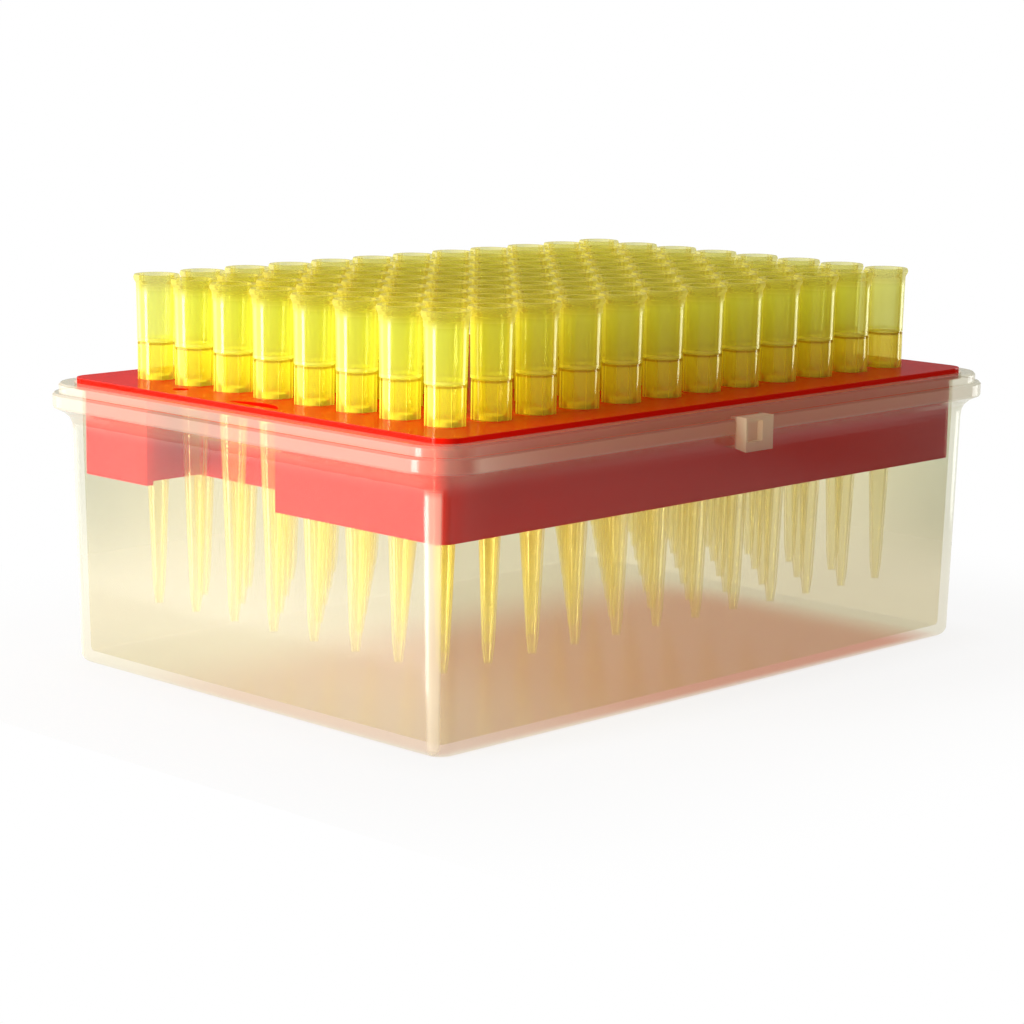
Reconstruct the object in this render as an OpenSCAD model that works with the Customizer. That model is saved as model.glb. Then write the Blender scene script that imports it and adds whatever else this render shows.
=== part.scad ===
// Box of pipette tips: an open moulded tub, a red rack that sits in its mouth,
// and 96 filter tips that hang in the rack on a 9 mm grid.
// X runs along the long side, -Y is the side with the catch, Z is up from the
// surface that the tub stands on.

/* [Grid] */
// Distance from one tip to the next, both ways
pitch = 9; // [8.6:0.1:10]
// Tips in one column, across the short side
rows = 8; // [4:1:8]

/* [Tip] */
// Whole length of a tip
tip_len = 51; // [44:0.5:60]
// Height of the collar, from the rack plate to the mouth
collar_h = 15.9; // [12:0.1:20]
// Height of the step between the ribbed and the smooth part of the collar
ring_h = 5.8; // [4:0.1:8]
// Outer diameter of the rim round the mouth
mouth_d = 7.1; // [6.8:0.1:8]
// Outer diameter of the collar just under the mouth rim
collar_top_d = 6.34; // [6.1:0.02:6.7]
// Outer diameter over the ribs of the lower collar
collar_low_d = 6.04; // [5.7:0.02:6.08]
// Diameter of the mouth that the pipette's cone goes into
bore_d = 5.3; // [5:0.05:5.5]
// Depth of the straight part of the mouth
bore_land = 3.5; // [2:0.1:5]
// Diameter of the cone right under the collar
cone_d = 4.56; // [4.4:0.02:4.8]
// Outer diameter of the fine end
end_d = 1.16; // [1:0.02:1.6]
// Bore of the fine end
end_bore_d = 0.6; // [0.4:0.05:0.8]
// Ribs round the lower collar
rib_count = 8; // [6:1:10]

/* [Filter] */
// Diameter of the seat that holds the filter
filter_seat_d = 3.52; // [3.2:0.02:3.7]
// Length of the filter
filter_len = 4.2; // [3:0.1:6]
// Play round the filter in its seat
filter_play = 0.02; // [0:0.01:0.05]

/* [Rack] */
// From the axis of the end column to the edge of the plate
plate_edge_x = 9.5; // [8.5:0.1:11]
// From the axis of the front row to the edge of the plate
plate_edge_y = 9.8; // [9:0.1:11]
// Thickness of the plate
plate_t = 1.7; // [1.2:0.1:2.5]
// Radius of the plate's corners
plate_r = 3.2; // [2:0.2:5]
// Play round a tip's cone in its hole
hole_play = 0.2; // [0.1:0.05:0.3]
// Reach of the skirt below the plate
skirt_h = 13.1; // [8:0.1:18]
// Thickness of the skirt
skirt_t = 1.2; // [0.8:0.1:1.8]
// Overhang of the skirt past the walls of the finger recess
recess_lip = 3.4; // [1:0.1:4]
// Length of the thumb pocket in the plate's short edge
pocket_len = 11.4; // [8:0.1:16]
// Width of the thumb pocket
pocket_w = 2.7; // [2:0.1:3.5]
// From the plate's short edge in to the thumb pocket
pocket_in = 1.4; // [1:0.1:2]
// Depth of the thumb pocket
pocket_depth = 1; // [0.5:0.1:1.2]
// Diameter of the key hole beside the thumb pocket
key_d = 2.4; // [1.5:0.1:3]
// From the plate's short edge in to the axis of the key hole
key_in = 4.15; // [4:0.05:5]

/* [Tub] */
// Thickness of the walls
wall_t = 1.5; // [1.2:0.1:2]
// Thickness of the floor
floor_t = 1.5; // [1.2:0.1:2.5]
// Space between the floor and the ends of the tips
tip_room = 7.8; // [3:0.1:15]
// Height of the plate's top above the rim
plate_proud = 0.7; // [0.2:0.1:1.2]
// From the plate's short edge to the outside of the wall
wall_gap_x = 1; // [0.5:0.05:1.2]
// From the plate's long edge to the outside of the wall
wall_gap_y = 0.5; // [0.3:0.05:1.2]
// Outside corner radius at the top of the walls
corner_r = 4.2; // [4:0.1:7]
// Inward lean of the walls, mm for each mm down
draft = 0.0235; // [0.005:0.0005:0.03]
// Radius of the bottom edge
foot_r = 1.6; // [0.5:0.1:2]
// Reach of the lip beyond the wall
lip_out = 2.1; // [1.5:0.05:3]
// Height of the lip
lip_h = 1.5; // [1:0.1:3]
// Reach of the bead beyond the wall
bead_out = 3.05; // [2.4:0.05:4]
// Height of the bead
bead_h = 2.4; // [1.5:0.1:4]
// Height of the hollow slope under the bead
cove_h = 3.2; // [2:0.1:5]
// Play round the plate's edge inside the rim
seat_play = 0.4; // [0.3:0.05:0.6]
// Play between the skirt and the wall
skirt_play = 0.35; // [0.3:0.05:0.6]

/* [Catch] */
// Width of the catch that the lid snaps over
catch_w = 6.2; // [5:0.1:7]
// Height of the catch
catch_h = 5.1; // [3.5:0.1:6]
// Reach of the catch beyond the bead
catch_out = 2; // [1:0.1:2.5]
// Width of the web that stiffens the catch from below
gusset_w = 11; // [8:0.5:20]

/* [Hidden] */
$fn = 64;

columns = 12;
// heights from the surface up
tip_below = tip_len - collar_h;
plate_z = floor_t + tip_room + tip_below;
seat_z = plate_z - plate_t;
rim_z = plate_z - plate_proud;
bead_top = rim_z - lip_h;
bead_low = bead_top - bead_h;
wall_top = bead_low - cove_h;

// plan of the rack and of the tub
end_x = (columns - 1) * pitch / 2;
end_y = (rows - 1) * pitch / 2;
plate_x = end_x + plate_edge_x;
plate_y = end_y + plate_edge_y;
wall_x = plate_x + wall_gap_x;
wall_y = plate_y + wall_gap_y;
axis_x = wall_x - corner_r;
axis_y = wall_y - corner_r;
foot_in = draft * wall_top;
skirt_in = wall_t + draft * max(0, wall_top - seat_z + skirt_h) + skirt_play;
skirt_x = wall_x - skirt_in;
skirt_y = wall_y - skirt_in;
skirt_r = corner_r - skirt_in;
front_y = -(wall_y + bead_out);
catch_top = bead_top + 0.4;

// recess between the grid lines of the end column
recess_x = end_x - pitch / 2;
recess_lo = -pitch;
recess_hi = 3 * pitch;

// cone of the tip: radius at a depth below the plate
knee = tip_below - 2.7;
knee_r = end_d / 2 + 0.36;
function cone_r(d) = cone_d / 2 + (knee_r - cone_d / 2) * d / knee;
seat_top = 0.5;
seat_low = seat_top - filter_len - 0.2;

// a profile swept round the tub: x is the reach from the corner axis, y the height
module sweep() {
    for (a = [0, 180]) rotate([0, 0, a]) {
        translate([-axis_x, axis_y, 0]) rotate([90, 0, 90])
            linear_extrude(2 * axis_x) children();
        translate([axis_x, axis_y, 0]) rotate([90, 0, 0])
            linear_extrude(2 * axis_y) children();
        translate([axis_x, axis_y, 0])
            rotate_extrude(angle = 90) children();
        translate([-axis_x, axis_y, 0]) rotate([0, 0, 90])
            rotate_extrude(angle = 90) children();
    }
}

module core(z0, z1) {
    translate([-axis_x, -axis_y, z0]) cube([2 * axis_x, 2 * axis_y, z1 - z0]);
}

// rounded rectangle from its half sizes
module round_rect(hx, hy, r) {
    square([2 * hx, 2 * (hy - r)], center = true);
    square([2 * (hx - r), 2 * hy], center = true);
    for (sx = [-1, 1], sy = [-1, 1])
        translate([sx * (hx - r), sy * (hy - r)]) circle(r = r);
}

module tub_outer() {
    foot_u = corner_r - foot_in;
    arc = [for (k = [0:5]) [foot_u - foot_r + foot_r * sin(18 * k), foot_r - foot_r * cos(18 * k)]];
    sweep() polygon(concat([[0, 0]], arc, [
        [corner_r, wall_top],
        [corner_r + 0.12, wall_top + cove_h * 0.28],
        [corner_r + 0.5, wall_top + cove_h * 0.56],
        [corner_r + 1.35, wall_top + cove_h * 0.8],
        [corner_r + bead_out - 0.45, bead_low],
        [corner_r + bead_out - 0.12, bead_low + 0.14],
        [corner_r + bead_out, bead_low + 0.45],
        [corner_r + bead_out, bead_top - 0.3],
        [corner_r + bead_out - 0.3, bead_top],
        [corner_r + lip_out, bead_top],
        [corner_r + lip_out, rim_z - 0.3],
        [corner_r + lip_out - 0.3, rim_z],
        [0, rim_z]]));
    core(0, rim_z);
}

// hollow of the tub up to the shoulder that carries the plate, with the walls' draft
module tub_hollow() {
    top = seat_z + 0.5;
    u_low = corner_r - wall_t - draft * (wall_top - floor_t);
    u_top = corner_r - wall_t;
    sweep() polygon([
        [0, floor_t],
        [u_low - 0.8, floor_t],
        [u_low - 0.23, floor_t + 0.23],
        [u_low, floor_t + 0.8],
        [u_top, wall_top],
        [u_top, top],
        [0, top]]);
    core(floor_t, top);
}

// web below the bead, deepest behind the catch
module gusset() {
    low = catch_top - catch_h;
    translate([0, front_y + 0.4 + bead_out, 0]) rotate([90, 0, 0])
        linear_extrude(bead_out - 0.5) polygon([
            [-gusset_w / 2, bead_top - 0.5], [-gusset_w / 2, bead_low - 1],
            [-gusset_w / 4, low + 0.3], [gusset_w / 4, low + 0.3],
            [gusset_w / 2, bead_low - 1], [gusset_w / 2, bead_top - 0.5]]);
}

module base_box() color([0.93, 0.9, 0.82, 0.5]) {
    difference() {
        union() {
            tub_outer();
            gusset();
            // catch, its underside hooked for the lid
            translate([-catch_w / 2, front_y, 0]) rotate([90, 0, 90])
                linear_extrude(catch_w) polygon([
                    [-catch_out, catch_top], [-catch_out, catch_top - catch_h],
                    [0, catch_top - catch_h + 0.4], [1.4, catch_top - catch_h + 0.4],
                    [1.4, catch_top]]);
        }
        tub_hollow();
        // seat of the plate
        translate([0, 0, seat_z]) linear_extrude(plate_t)
            round_rect(plate_x + seat_play, plate_y + seat_play, plate_r + seat_play);
        // pocket in the catch's face
        translate([-catch_w / 2 + 0.4, front_y - catch_out - 1, catch_top - 0.6 - catch_h * 0.6])
            cube([catch_w * 0.54, 2, catch_h * 0.6]);
    }
}

module skirt_outline() {
    difference() {
        round_rect(skirt_x, skirt_y, skirt_r);
        round_rect(skirt_x - skirt_t, skirt_y - skirt_t, max(0.5, skirt_r - skirt_t));
        // gap for the fingers, in the left and, turned round, in the right side
        for (a = [0, 180]) rotate(a)
            translate([-skirt_x - 1, recess_lo + recess_lip])
                square([skirt_t + 3, recess_hi - recess_lo - 2 * recess_lip]);
    }
    for (a = [0, 180]) rotate(a) {
        translate([-recess_x - skirt_t / 2, recess_lo - skirt_t / 2])
            square([skirt_t, recess_hi - recess_lo + skirt_t]);
        for (y = [recess_lo, recess_hi])
            translate([-skirt_x + skirt_t / 2, y - skirt_t / 2])
                square([skirt_x - recess_x, skirt_t]);
    }
}

module tip_rack() color([0.86, 0.07, 0.03]) {
    difference() {
        translate([0, 0, seat_z]) linear_extrude(plate_t) round_rect(plate_x, plate_y, plate_r);
        for (i = [0:columns - 1], j = [0:rows - 1])
            translate([i * pitch - end_x, j * pitch - end_y, seat_z - 1])
                cylinder(d = cone_d + 2 * hole_play, h = plate_t + 2);
        for (a = [0, 180]) rotate([0, 0, a]) {
            thumb_pocket();
            translate([-plate_x + key_in, 2.15 * pitch, seat_z - 1])
                cylinder(d = key_d, h = plate_t + 2);
        }
    }
    translate([0, 0, seat_z - skirt_h]) linear_extrude(skirt_h) skirt_outline();
}

// pocket with a straight front and a bowed back
module thumb_pocket() {
    bow_r = pocket_len * pocket_len / (8 * pocket_w) + pocket_w / 2;
    intersection() {
        translate([-plate_x + pocket_in + pocket_w - bow_r, 0, plate_z - pocket_depth])
            cylinder(r = bow_r, h = pocket_depth + 1);
        translate([-plate_x + pocket_in, -pocket_len, plate_z - pocket_depth])
            cube([pocket_w + 1, 2 * pocket_len, pocket_depth + 1]);
    }
}

// one tip, its collar standing on z = 0
module tip() {
    low_r = collar_low_d / 2 - 0.17;
    rotate_extrude() polygon([
        [end_bore_d / 2, -tip_below],
        [end_d / 2, -tip_below],
        [knee_r, -knee],
        [cone_r(0), 0],
        [low_r, 0],
        [low_r, ring_h - 0.15],
        [collar_low_d / 2, ring_h],
        [collar_top_d / 2, collar_h - 1.3],
        [mouth_d / 2 - 0.08, collar_h - 0.75],
        [mouth_d / 2, collar_h - 0.4],
        [mouth_d / 2 - 0.15, collar_h],
        [bore_d / 2, collar_h],
        [bore_d / 2, collar_h - bore_land],
        [low_r - 0.42, ring_h],
        [low_r - 0.5, seat_top + 0.5],
        [filter_seat_d / 2, seat_top],
        [filter_seat_d / 2, seat_low],
        [knee_r - 0.4, -knee],
        [end_bore_d / 2, -tip_below]]);
    for (k = [0:rib_count - 1]) rotate([0, 0, (k + 0.5) * 360 / rib_count])
        translate([low_r - 0.2, -0.25, 0]) cube([0.37, 0.5, ring_h - 0.1]);
}

module tip_column(i) {
    for (j = [0:rows - 1])
        translate([i * pitch - end_x, j * pitch - end_y, plate_z]) tip();
}

module filter_column(i) {
    for (j = [0:rows - 1])
        translate([i * pitch - end_x, j * pitch - end_y, plate_z + seat_top - filter_len])
            cylinder(d = filter_seat_d - 2 * filter_play, h = filter_len);
}

module tips_column_01() color([0.93, 0.86, 0.1, 0.7]) tip_column(0);
module tips_column_02() color([0.93, 0.86, 0.1, 0.7]) tip_column(1);
module tips_column_03() color([0.93, 0.86, 0.1, 0.7]) tip_column(2);
module tips_column_04() color([0.93, 0.86, 0.1, 0.7]) tip_column(3);
module tips_column_05() color([0.93, 0.86, 0.1, 0.7]) tip_column(4);
module tips_column_06() color([0.93, 0.86, 0.1, 0.7]) tip_column(5);
module tips_column_07() color([0.93, 0.86, 0.1, 0.7]) tip_column(6);
module tips_column_08() color([0.93, 0.86, 0.1, 0.7]) tip_column(7);
module tips_column_09() color([0.93, 0.86, 0.1, 0.7]) tip_column(8);
module tips_column_10() color([0.93, 0.86, 0.1, 0.7]) tip_column(9);
module tips_column_11() color([0.93, 0.86, 0.1, 0.7]) tip_column(10);
module tips_column_12() color([0.93, 0.86, 0.1, 0.7]) tip_column(11);

module filters_column_01() color([0.97, 0.96, 0.85]) filter_column(0);
module filters_column_02() color([0.97, 0.96, 0.85]) filter_column(1);
module filters_column_03() color([0.97, 0.96, 0.85]) filter_column(2);
module filters_column_04() color([0.97, 0.96, 0.85]) filter_column(3);
module filters_column_05() color([0.97, 0.96, 0.85]) filter_column(4);
module filters_column_06() color([0.97, 0.96, 0.85]) filter_column(5);
module filters_column_07() color([0.97, 0.96, 0.85]) filter_column(6);
module filters_column_08() color([0.97, 0.96, 0.85]) filter_column(7);
module filters_column_09() color([0.97, 0.96, 0.85]) filter_column(8);
module filters_column_10() color([0.97, 0.96, 0.85]) filter_column(9);
module filters_column_11() color([0.97, 0.96, 0.85]) filter_column(10);
module filters_column_12() color([0.97, 0.96, 0.85]) filter_column(11);

base_box();
tip_rack();
tips_column_01();
tips_column_02();
tips_column_03();
tips_column_04();
tips_column_05();
tips_column_06();
tips_column_07();
tips_column_08();
tips_column_09();
tips_column_10();
tips_column_11();
tips_column_12();
filters_column_01();
filters_column_02();
filters_column_03();
filters_column_04();
filters_column_05();
filters_column_06();
filters_column_07();
filters_column_08();
filters_column_09();
filters_column_10();
filters_column_11();
filters_column_12();
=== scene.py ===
import math

import bpy
from mathutils import Matrix, Vector

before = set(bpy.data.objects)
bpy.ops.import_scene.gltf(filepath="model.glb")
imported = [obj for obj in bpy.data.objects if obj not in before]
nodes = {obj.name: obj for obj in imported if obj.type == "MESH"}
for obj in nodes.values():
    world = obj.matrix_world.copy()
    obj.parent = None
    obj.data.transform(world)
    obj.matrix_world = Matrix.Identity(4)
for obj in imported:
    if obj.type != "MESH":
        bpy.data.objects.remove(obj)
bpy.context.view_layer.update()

# ---------------------------------------------------------------------------
# Tub: an open box moulded in one piece from natural polypropylene, milky but
# see-through, with the satin skin that the mould leaves. The rack rests on a
# shoulder inside its folded rim, and the catch on the front side is for the lid.
# ---------------------------------------------------------------------------


class Wire:
    """A shader socket that can be used in sums, as a number is."""

    def __init__(self, tree, socket):
        self.tree, self.socket = tree, socket

    def _math(self, operation, a, b):
        node = self.tree.nodes.new("ShaderNodeMath")
        node.operation = operation
        for slot, value in zip(node.inputs, (a, b)):
            if isinstance(value, Wire):
                self.tree.links.new(value.socket, slot)
            else:
                slot.default_value = value
        return Wire(self.tree, node.outputs[0])

    def __add__(self, other):
        return self._math("ADD", self, other)

    def __radd__(self, other):
        return self._math("ADD", other, self)

    def __sub__(self, other):
        return self._math("SUBTRACT", self, other)

    def __rsub__(self, other):
        return self._math("SUBTRACT", other, self)

    def __mul__(self, other):
        return self._math("MULTIPLY", self, other)

    def __rmul__(self, other):
        return self._math("MULTIPLY", other, self)

    def __pow__(self, other):
        return self._math("POWER", self, other)


class Finish:
    """A material under construction: node(type, settings, inputs) adds one node."""

    def __init__(self, name):
        self.material = bpy.data.materials.new(name)
        self.material.use_nodes = True
        self.tree = self.material.node_tree
        self.tree.nodes.clear()

    def node(self, kind, settings=None, inputs=None):
        made = self.tree.nodes.new("ShaderNode" + kind)
        for key, value in (settings or {}).items():
            setattr(made, key, value)
        for key, value in (inputs or {}).items():
            slot = made.inputs[key]
            if isinstance(value, Wire):
                self.tree.links.new(value.socket, slot)
            else:
                slot.default_value = value
        return made

    def wire(self, kind, settings=None, inputs=None, output=0):
        """The one output that is wanted of a new node."""
        return Wire(self.tree, self.node(kind, settings, inputs).outputs[output])

    def split(self, vector):
        """The X, Y and Z of a vector."""
        parts = self.node("SeparateXYZ", inputs={"Vector": vector})
        return [Wire(self.tree, parts.outputs[axis]) for axis in "XYZ"]

    def place(self):
        return self.wire("TexCoord", output="Object")

    def either_side(self, vector):
        """The vector without its signs, for what is alike on both sides of the middle."""
        return self.wire("VectorMath", {"operation": "ABSOLUTE"}, {0: vector})

    def step(self, value, low, high, to_low=0.0, to_high=1.0):
        """Goes smoothly from to_low, where the value is low, to to_high, where it is high."""
        return self.wire("MapRange", {"interpolation_type": "SMOOTHSTEP"}, {
            "Value": value, "From Min": low, "From Max": high,
            "To Min": to_low, "To Max": to_high})

    def band(self, value, foot, top):
        """1 between two limits and 0 outside; each limit is a pair over which it changes."""
        return self.step(value, *foot) * self.step(value, *top, 1.0, 0.0)

    def noise(self, scale, detail=2.0):
        return self.wire("TexNoise", inputs={
            "Vector": self.place(), "Scale": scale, "Detail": detail})

    def bump(self, strength, depth, height):
        return self.wire("Bump", inputs={
            "Strength": strength, "Distance": depth, "Height": height})

    def mix(self, share, first, second):
        """The first shader, with a share of the second in its place."""
        return self.wire("MixShader", inputs={0: share, 1: first, 2: second})

    def clear(self, tint):
        """Plastic that only takes away colour."""
        return self.wire("BsdfTransparent", inputs={"Color": (*tint, 1)})

    def scatter(self, colour, passed_on, **surface):
        """Milky plastic: it throws light back, and passes a share on to its other side."""
        return self.mix(
            passed_on, self.wire("BsdfDiffuse", inputs={"Color": (*colour, 1), **surface}),
            self.wire("BsdfTranslucent", inputs={"Color": (*colour, 1)}))

    def skin(self, colour, roughness, **surface):
        return self.wire("BsdfGlossy", inputs={
            "Color": (*colour, 1), "Roughness": roughness, **surface})

    def facing(self):
        """0 where a surface is seen straight on, 1 where it is seen edge on."""
        return self.wire("LayerWeight", inputs={"Blend": 0.5}, output="Facing")

    def gloss(self):
        """Share of light that clear plastic mirrors: 4 % straight on, all of it edge on."""
        return self.facing() ** 5 * 0.96 + 0.04

    def ray(self, kind):
        """1 for rays of this kind, 0 for others."""
        return self.wire("LightPath", output="Is %s Ray" % kind)

    def bent(self):
        """Mirrored and refracted rays, but not those that a milky body scatters."""
        return self.ray("Glossy") + self.ray("Transmission") * (1.0 - self.ray("Diffuse"))

    def entering(self, inside, passed, scattered=0.0):
        """Keeps a finish to the side where a ray goes into the plastic, so that a wall counts
        once: it leaves unchanged. Light on its way from a lamp only takes the passed tint,
        and so does this share of the light that another piece has scattered."""
        leaving = self.wire("NewGeometry", output="Backfacing")
        lighting = self.ray("Shadow") + self.ray("Diffuse") * scattered
        return self.mix(leaving, self.mix(lighting, inside, passed), self.clear((1, 1, 1)))

    def out(self, shader):
        self.node("OutputMaterial", inputs={"Surface": shader})
        return self.material


def dress(names, material):
    """Puts one material on all the slots of the named CAD nodes."""
    for name in names:
        slots = nodes[name].data.materials
        for k in range(len(slots)):
            slots[k] = material


# What the plastic scatters, what it lets through near the floor and above it, and a greyer
# tint of painted shade at two opposite corners. The last is for light on its way from a lamp.
milk, milk_passed_on = (0.95, 0.87, 0.70), 0.35
low_tint, high_tint = (0.89, 0.865, 0.735), (0.86, 0.83, 0.66)
painted_corner_shade, shade_tint = (0.74, 0.735, 0.60), (0.82, 0.775, 0.60)
low_to_high = (0.010, 0.030)
corner_foot, corner_reach = (0.008, 0.022), (0.070, 0.100)

# How milky it is: little in the wall, more at the floor and in the folded rim, and most
# in the catch and in the walls' rounded corners, which are crossed lengthwise.
floor_haze, wall_haze, rim_haze, bend_haze, catch_haze = 0.17, 0.040, 0.23, 0.40, 0.42
floor_to_wall, rim_foot, catch_back = (0.012, 0.031), (0.0362, 0.0405), (0.0446, 0.0452)
wall_lean, bend_top = 0.016, (0.036, 0.038)
bend_x, bend_y = (0.0580, 0.0584), (0.0380, 0.0388)
cloud_scale, cloud_depth = 45.0, 0.04

# Roughness of the satin skin, how much of a clear skin's gloss it keeps, and its grain.
satin, satin_gloss = 0.16, 0.62
satin_scale, satin_bump, satin_depth = 900.0, 0.03, 0.0002


def milky_tub():
    f = Finish("milky_polypropylene")
    grain = f.bump(satin_bump, satin_depth, f.noise(satin_scale))
    x, y, height = f.split(f.place())
    haze = f.scatter(milk, milk_passed_on, Normal=grain)
    aside = f.wire("Math", {"operation": "ABSOLUTE"}, {0: x - y})
    # Painted shade: a greyer tint at two opposite corners, from just above the floor upward.
    corners = f.step(height, *corner_foot) * f.step(aside, *corner_reach)
    clear = f.mix(corners, f.mix(
        f.step(height, *low_to_high), f.clear(low_tint), f.clear(high_tint)),
        f.clear(painted_corner_shade))
    across, along, _ = f.split(f.either_side(f.place()))
    bend = (f.step(across - height * wall_lean, *bend_x) * f.step(along, *bend_y)
            * f.step(height, *bend_top, 1.0, 0.0))
    veil = (f.step(height, *floor_to_wall, floor_haze, wall_haze)
            + f.step(height, *rim_foot, 0.0, rim_haze))
    catch = f.step(along, *catch_back, 0.0, catch_haze)
    clouds = f.noise(cloud_scale) * cloud_depth - cloud_depth / 2
    share = veil + catch + bend * bend_haze + clouds
    skin = f.skin((1, 1, 1), satin, Normal=grain)
    body = f.mix(f.gloss() * satin_gloss, f.mix(share, clear, haze), skin)
    return f.out(f.entering(body, f.clear(shade_tint), 1.0))


dress(["base_box"], milky_tub())

# ---------------------------------------------------------------------------
# Rack: one glossy moulding in strong red plastic, a plate with 96 holes on a
# skirt. It lies loose on the tub's shoulder. The polished top of the plate
# mirrors the tips, and its edge and the skirt shine less.
# ---------------------------------------------------------------------------

red, red_passed_on, red_tint = (0.82, 0.010, 0.002), 0.32, (0.50, 0.02, 0.01)
polish = 0.14
wave_scale, wave_detail, wave_bump, wave_depth = 60.0, 3.0, 0.03, 0.0004
skirt_shine, edge_shine, top_shine = 0.28, 0.12, 0.45
plate_under, plate_top = (0.0428, 0.0432), (0.04425, 0.04438)


def red_rack():
    f = Finish("glossy_red")
    waves = f.bump(wave_bump, wave_depth, f.noise(wave_scale, wave_detail))
    body = f.scatter(red, red_passed_on, Normal=waves)
    skin = f.skin((1, 1, 1), polish, Normal=waves)
    height = f.split(f.place())[2]
    shine = (f.step(height, *plate_under, skirt_shine, edge_shine)
             + f.step(height, *plate_top, 0.0, top_shine - edge_shine))
    return f.out(f.mix(f.ray("Shadow"), f.mix(f.gloss() * shine, body, skin),
                       f.clear(red_tint)))


dress(["tip_rack"], red_rack())

# ---------------------------------------------------------------------------
# Tips: 96 thin mouldings in clear yellow polypropylene. Each hangs in a hole of
# the rack, with its collar on the plate. Above the collar's ribs come a dark line of
# painted shade under the step ring, the ring, the smooth barrel and the matt mouth.
# ---------------------------------------------------------------------------

# What each part of a tip scatters, and how milky it is: the shares add up where parts
# meet, and the sides of the round wall, seen edge on, count as a part.
# The ribs' deeper amber is partly their thick ribbed wall and partly painted red light from
# the plate.
cone_milk, barrel_milk, ribs_milk = (0.95, 0.91, 0.33), (0.86, 0.93, 0.20), (0.87, 0.90, 0.10)
# The dark line's colour is painted shade, under the step ring.
mouth_milk, shade_line_milk, tip_passed_on = (0.70, 0.64, 0.13), (0.42, 0.28, 0.02), 0.45
cone_haze, barrel_haze, ribs_haze, ring_haze, shade_line_haze, side_haze = (
    0.12, 0.19, 0.14, 0.35, 0.45, 0.28)
shade_line_cover = 0.9

# What it lets through, with the edge of the bore as the darkest line, and the tints that
# light from a lamp takes on.
# The ribs' amber tint, too, is partly painted red light from the plate.
cone_tint, barrel_tint, ribs_tint = (0.99, 0.98, 0.86), (0.79, 0.805, 0.48), (0.89, 0.78, 0.33)
bore_tint, bore_cover = (0.62, 0.45, 0.08), 0.5
cone_shade, barrel_shade = (0.80, 0.76, 0.56), (0.68, 0.56, 0.20)
bore_start, bore_end, side = (0.24, 0.34), (0.34, 0.42), (0.34, 0.46)

# Heights over the table at which each part begins and ends.
cone_top, mouth = (0.040, 0.0445), (0.0572, 0.0590)
ribs_foot, ribs_top = (0.0438, 0.0446), (0.0500, 0.0503)
line_foot, line_top = (0.0496, 0.0498), (0.0500, 0.0502)
ring_foot, ring_top = (0.0502, 0.0504), (0.0506, 0.0508)

# Colour and roughness of the skin, and how much of its gloss the mouth keeps.
tip_shine, tip_polish, mouth_matt, mouth_gloss = (1.0, 0.97, 0.68), 0.07, 0.5, 0.15


def yellow_tip():
    f = Finish("clear_yellow")
    facing, height = f.facing(), f.split(f.place())[2]
    ribs = f.band(height, ribs_foot, ribs_top)
    ring = f.band(height, ring_foot, ring_top)
    line = f.band(height, line_foot, line_top)
    bore = f.band(facing, bore_start, bore_end)
    collar = f.step(height, *cone_top)
    milks = [f.scatter(colour, tip_passed_on)
             for colour in (cone_milk, barrel_milk, ribs_milk, mouth_milk, shade_line_milk)]
    haze = f.mix(f.step(height, *mouth), f.mix(
        collar, milks[0], f.mix(ribs, milks[1], milks[2])), milks[3])
    # Painted shade: a dark band just under the step ring.
    haze = f.mix(line * shade_line_cover, haze, milks[4])
    clear = f.mix(bore * collar * bore_cover, f.mix(
        collar, f.clear(cone_tint), f.mix(ribs, f.clear(barrel_tint), f.clear(ribs_tint))),
        f.clear(bore_tint))
    shade = f.mix(collar, f.clear(cone_shade), f.clear(barrel_shade))
    skin = f.skin(tip_shine, f.step(height, *mouth, tip_polish, mouth_matt))
    # To light that another piece has scattered, a tip is milky all through.
    share = (collar * barrel_haze + cone_haze + ribs * ribs_haze + ring * ring_haze
             + f.step(facing, *side) * side_haze + line * shade_line_haze + f.ray("Diffuse"))
    gloss = f.gloss() * f.step(height, *mouth, 1.0, mouth_gloss)
    return f.out(f.entering(f.mix(gloss, f.mix(share, clear, haze), skin), shade))


columns = range(1, 13)
dress(["tips_column_%02d" % k for k in columns], yellow_tip())

# ---------------------------------------------------------------------------
# Filters: 96 plugs of cream plastic grains sintered together, dull and full of
# pores. One is pressed into each tip, in the seat under its collar.
# ---------------------------------------------------------------------------

cream, cream_roughness = (0.88, 0.88, 0.62), 0.8
pore_scale, pore_bump, pore_depth = 3500.0, 0.4, 0.0001


def porous_filter():
    f = Finish("porous_cream")
    pores = f.bump(pore_bump, pore_depth, f.noise(pore_scale))
    return f.out(f.wire("BsdfPrincipled", inputs={
        "Base Color": (*cream, 1), "Roughness": cream_roughness, "Normal": pores}))


dress(["filters_column_%02d" % k for k in columns], porous_filter())

# ---------------------------------------------------------------------------
# Table: a flat sheet of white paper under the tub. Near the tub it takes a faint
# shadow, and farther out it is as white as the room. Under the tub a glowing pink
# patch is painted light, standing in for red light that comes through the rack.
# ---------------------------------------------------------------------------

left, right, front, rear = -0.09, 0.15, -0.25, 0.45
paper, painted_pink_light = (0.85, 0.85, 0.85), (0.76, 0.35, 0.32)
near_grey, far_grey = (0.9, 0.9, 0.9), (0.25, 0.25, 0.25)    # what scattered light meets
foot_half = (0.0555, 0.0372, 0.0)                            # half the tub's underside
grey_fade = (0.0, 0.015)
near_white, mid_white, far_white = 0.85, 0.90, 1.0           # shares of pure white
near_fade, far_fade = (0.003, 0.015), (0.015, 0.07)
# Where the painted pink light lies under the tub.
pink_edge, pink_right, pink_rear, pink_left = (
    (0.0, 0.0035), (0.045, 0.062), (0.004, 0.036), (-0.060, 0.0))
pink_left_share = 0.5


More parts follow.
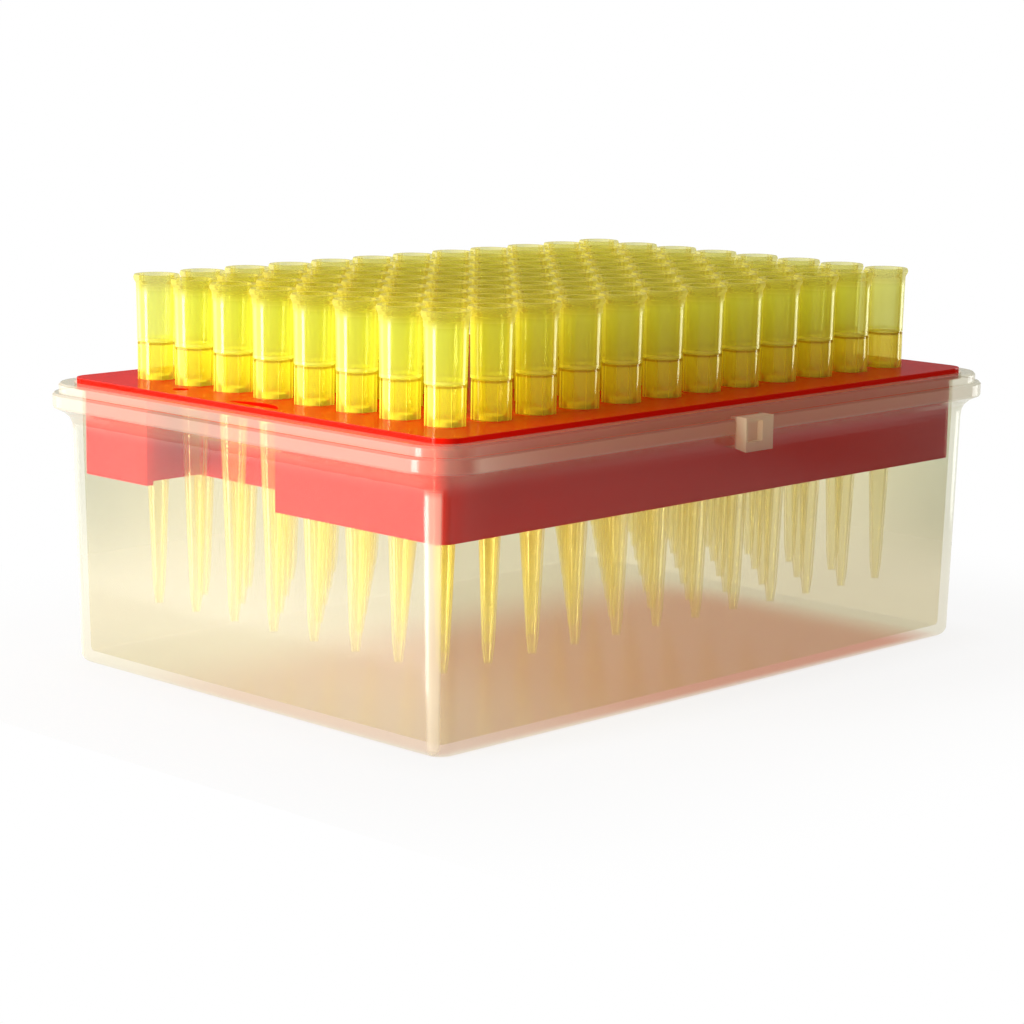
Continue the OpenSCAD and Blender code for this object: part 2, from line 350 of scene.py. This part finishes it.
def white_table():
    """The distance from the tub's foot is the length of max(|place| - half the foot, 0)."""
    f = Finish("white_table")
    lit = f.wire("BsdfDiffuse", inputs={"Color": (*paper, 1)})
    white = f.wire("Emission", inputs={"Color": (1, 1, 1, 1), "Strength": 1.0})
    # The pink glow is painted light.
    under = f.wire("Emission", inputs={"Color": (*painted_pink_light, 1), "Strength": 1.0})
    spot = f.place()
    beyond = f.wire("VectorMath", {"operation": "SUBTRACT"},
                    {0: f.either_side(spot), 1: foot_half})
    outside = f.wire("VectorMath", {"operation": "MAXIMUM"}, {0: beyond, 1: (0, 0, 0)})
    away = f.wire("VectorMath", {"operation": "LENGTH"}, {0: outside}, output="Value")
    x, y, _ = f.split(spot)
    # Painted light: a glowing pink patch under the tub, in place of red light through the
    # rack.
    painted_light_patch = (f.step(away, *pink_edge, 1.0, 0.0) * f.step(x, *pink_right, 1.0, 0.0)
               * f.step(y, *pink_rear, 1.0, 0.0) * f.step(x, *pink_left, pink_left_share, 1.0))
    share = (f.step(away, *near_fade, near_white, mid_white)
             + f.step(away, *far_fade, 0.0, far_white - mid_white))
    grey = f.mix(f.step(away, *grey_fade),
                 f.wire("BsdfDiffuse", inputs={"Color": (*near_grey, 1)}),
                 f.wire("BsdfDiffuse", inputs={"Color": (*far_grey, 1)}))
    seen = f.ray("Camera") + f.bent()
    return f.out(f.mix(seen, grey, f.mix(share, lit, f.mix(painted_light_patch, white, under))))


mesh = bpy.data.meshes.new("table")
mesh.from_pydata([(left, front, 0), (right, front, 0), (right, rear, 0), (left, rear, 0)],
                 [], [(0, 1, 2, 3)])
mesh.materials.append(white_table())
sheet = bpy.data.objects.new("table", mesh)
bpy.context.scene.collection.objects.link(sheet)

# ---------------------------------------------------------------------------
# Light: a tall soft lamp at the left, and a dim room with three bright areas and
# a warm front. The camera sees the room white. Mirrored rays see a low white
# sweep behind the object, and the dim room, which puts highlights on the plastic.
# ---------------------------------------------------------------------------

lamp_place, lamp_aim = Vector((-1.11, 0.30, 0.22)), Vector((0, 0, 0.05))
lamp_width, lamp_height, lamp_power, lamp_colour = 0.34, 1.1, 24.0, (1.0, 0.98, 0.93)

# Each area of the room: its direction, the cosines where it is full and where it ends,
# and its strength.
over_rear = ((0.50, 0.50, 0.71), 0.97, 0.76, 1.5)
left_rear = ((-0.70, 0.70, -0.10), 0.95, 0.72, 4.0)
right_side = ((0.93, -0.34, -0.14), 0.995, 0.965, 6.0)
front_side = ((-0.52, -0.77, 0.36), 0.95, 0.35, 0.50)
sweep_rear = ((0.716, 0.698, 0.0), 0.45, 0.10, 1.0)
sweep_top = (0.04, 0.10)
room_strength, white_colour, warm_colour = 0.09, (1, 1, 1), (1.0, 0.80, 0.56)

lamp = bpy.data.lights.new("key", "AREA")
lamp.shape, lamp.size, lamp.size_y = "RECTANGLE", lamp_width, lamp_height
lamp.energy, lamp.color = lamp_power, lamp_colour
stand = bpy.data.objects.new("key", lamp)
stand.location = lamp_place
stand.rotation_euler = (lamp_aim - lamp_place).to_track_quat("-Z", "Y").to_euler()
bpy.context.scene.collection.objects.link(stand)


class Room(Finish):
    """The world's own node tree, handled as a material's is."""

    def __init__(self, holder):
        self.tree = holder.node_tree
        self.tree.nodes.clear()
        self.way = self.wire("TexCoord", output="Generated")

    def area(self, towards, full, end, strength):
        """Light from one side: the dot product with the ray's way, faded between cosines."""
        along = self.wire("VectorMath", {"operation": "DOT_PRODUCT"},
                          {0: self.way, 1: towards}, output="Value")
        return self.step(along, end, full, 0.0, strength)

    def glow(self, colour, strength):
        return self.wire("Background", inputs={"Color": (*colour, 1), "Strength": strength})

    def both(self, first, second):
        return self.wire("AddShader", inputs={0: first, 1: second})


world = bpy.data.worlds.new("studio")
bpy.context.scene.world = world
world.use_nodes = True
room = Room(world)
cool = room.area(*over_rear) + room.area(*left_rear) + room.area(*right_side) + room_strength
dim = room.both(room.glow(white_colour, cool),
                room.glow(warm_colour, room.area(*front_side)))
low = room.step(room.split(room.way)[2], *sweep_top, 1.0, 0.0)
mirrored = room.both(dim, room.glow(white_colour, room.area(*sweep_rear) * low))
white = room.glow(white_colour, 1.0)
room.node("OutputWorld", inputs={"Surface": room.mix(
    room.ray("Camera"), room.mix(room.bent(), dim, mirrored), white)})

# ---------------------------------------------------------------------------
# Camera: a long lens well away from the box, a little above it, pointed at the
# corner between the catch's long side and the short side on its left.
# ---------------------------------------------------------------------------

yaw, pitch, roll = math.radians(45.719), math.radians(10.303), math.radians(0.815)
camera_place = (-0.32404, -0.31235, 0.10369)
focal_length, sensor_width = 101.19, 36.0
nearest, farthest = 0.01, 50.0

forward = Vector((math.sin(yaw) * math.cos(pitch), math.cos(yaw) * math.cos(pitch),
                  -math.sin(pitch)))
level = Vector((math.cos(yaw), -math.sin(yaw), 0))
upright = level.cross(forward)
sideways = level * math.cos(roll) + upright * math.sin(roll)
up = upright * math.cos(roll) - level * math.sin(roll)
lens = bpy.data.cameras.new("camera")
lens.lens, lens.sensor_width = focal_length, sensor_width
lens.clip_start, lens.clip_end = nearest, farthest
camera = bpy.data.objects.new("camera", lens)
bpy.context.scene.collection.objects.link(camera)
turned = Matrix((sideways, up, -forward)).transposed().to_4x4()
camera.matrix_world = Matrix.Translation(camera_place) @ turned
bpy.context.scene.camera = camera

# Plain colours, and no more bounces than the clear rows of tips need.
scene = bpy.context.scene
scene.view_settings.view_transform = "Standard"
scene.cycles.max_bounces = 4
scene.cycles.diffuse_bounces = 3
scene.cycles.glossy_bounces = 3
scene.cycles.transmission_bounces = 4
scene.cycles.transparent_max_bounces = 64
